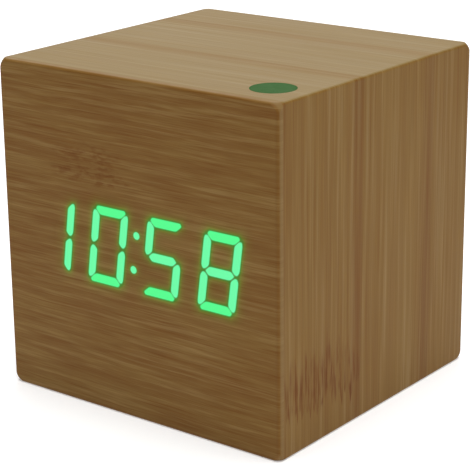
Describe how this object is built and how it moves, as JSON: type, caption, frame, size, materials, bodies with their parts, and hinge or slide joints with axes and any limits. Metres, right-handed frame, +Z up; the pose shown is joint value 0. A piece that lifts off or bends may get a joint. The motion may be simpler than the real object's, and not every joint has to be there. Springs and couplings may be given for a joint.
{
  "type": "alarm clock",
  "caption": "Cube-shaped digital alarm clock clad in bamboo, with glowing digits behind its front sheet, recessed rear buttons and a hinged battery door underneath.",
  "frame": {"origin": "centre of the clock's base", "axes": "+Z up, the display faces -Y, and +Y is the depth of the case from its front sheet to its open back edge"},
  "size_m": [0.062, 0.0594, 0.062],
  "materials": {
    "bamboo_front": "satin bamboo sheet, grain across",
    "bamboo_wrap": "satin bamboo veneer wrapped round the case",
    "fibreboard": "plain fibreboard",
    "green_mark": "flat green inlay",
    "display_black": "matt black",
    "lit_green": "glowing mint green",
    "dark_lens": "unlit milky lens",
    "circuit_green": "green solder mask",
    "chip_black": "moulded black",
    "tin": "tinned metal",
    "steel": "zinc plated",
    "brass": "plain",
    "black_plastic": "fine moulded texture",
    "white_plastic": "plain",
    "grey_cable": "plain",
    "red_wire": "plain",
    "black_wire": "plain",
    "cell_wrap": "dark printed sleeve without any lettering",
    "aluminium": "plain"
  },
  "bodies": {
    "case": {"front_sheet": "bamboo_front", "front_board": "fibreboard", "top_veneer": "bamboo_wrap", "bottom_veneer": "bamboo_wrap", "left_veneer": "bamboo_wrap", "right_veneer": "bamboo_wrap", "top_board": "fibreboard", "bottom_board": "fibreboard", "left_board": "fibreboard", "right_board": "fibreboard", "top_dot": "green_mark", "display_housing": "display_black", "lit_segments": "lit_green", "dark_segments": "dark_lens", "display_pins": "tin", "display_board": "circuit_green", "board_spacers": "white_plastic", "display_screws": "steel", "controller_chip": "chip_black", "driver_chip": "chip_black", "clock_crystal": "tin", "capacitors": "aluminium", "chip_resistors": "chip_black", "coin_cell_holder": "steel", "coin_cell": "steel", "rear_cover": "black_plastic", "corner_posts": "fibreboard", "rear_cover_screws": "steel", "rear_board": "circuit_green", "rear_board_screws": "steel", "switch_bodies": "chip_black", "jack_body": "black_plastic", "jack_pin": "brass", "buzzer": "black_plastic", "microphone": "aluminium", "thermistor": "black_plastic", "battery_box": "black_plastic", "battery_box_screws": "steel", "batteries": "cell_wrap", "contact_springs": "steel", "contact_plates": "steel", "battery_lead_red": "red_wire", "battery_lead_black": "black_wire", "ribbon_cable": "grey_cable", "cable_connectors": "white_plastic"},
    "set_key": {"set_button": "black_plastic", "set_plunger": "white_plastic"},
    "up_key": {"up_button": "black_plastic", "up_plunger": "white_plastic"},
    "down_key": {"down_button": "black_plastic", "down_plunger": "white_plastic"},
    "door": {"battery_door": "black_plastic"}
  },
  "joints": [
    {"name": "set_press", "type": "slide", "parent": "case", "child": "set_key", "axis": [0, -1, 0], "range_m": [0, 0.0005], "stiffness_N_per_m": 600, "springref_m": -0.0006},
    {"name": "up_press", "type": "slide", "parent": "case", "child": "up_key", "axis": [0, -1, 0], "range_m": [0, 0.0005], "stiffness_N_per_m": 600, "springref_m": -0.0006},
    {"name": "down_press", "type": "slide", "parent": "case", "child": "down_key", "axis": [0, -1, 0], "range_m": [0, 0.0005], "stiffness_N_per_m": 600, "springref_m": -0.0006},
    {"name": "door_hinge", "type": "hinge", "parent": "case", "child": "door", "pos_m": [0, -0.0154, 0.0012], "axis": [-1, 0, 0], "range_deg": [0, 85]}
  ]
}
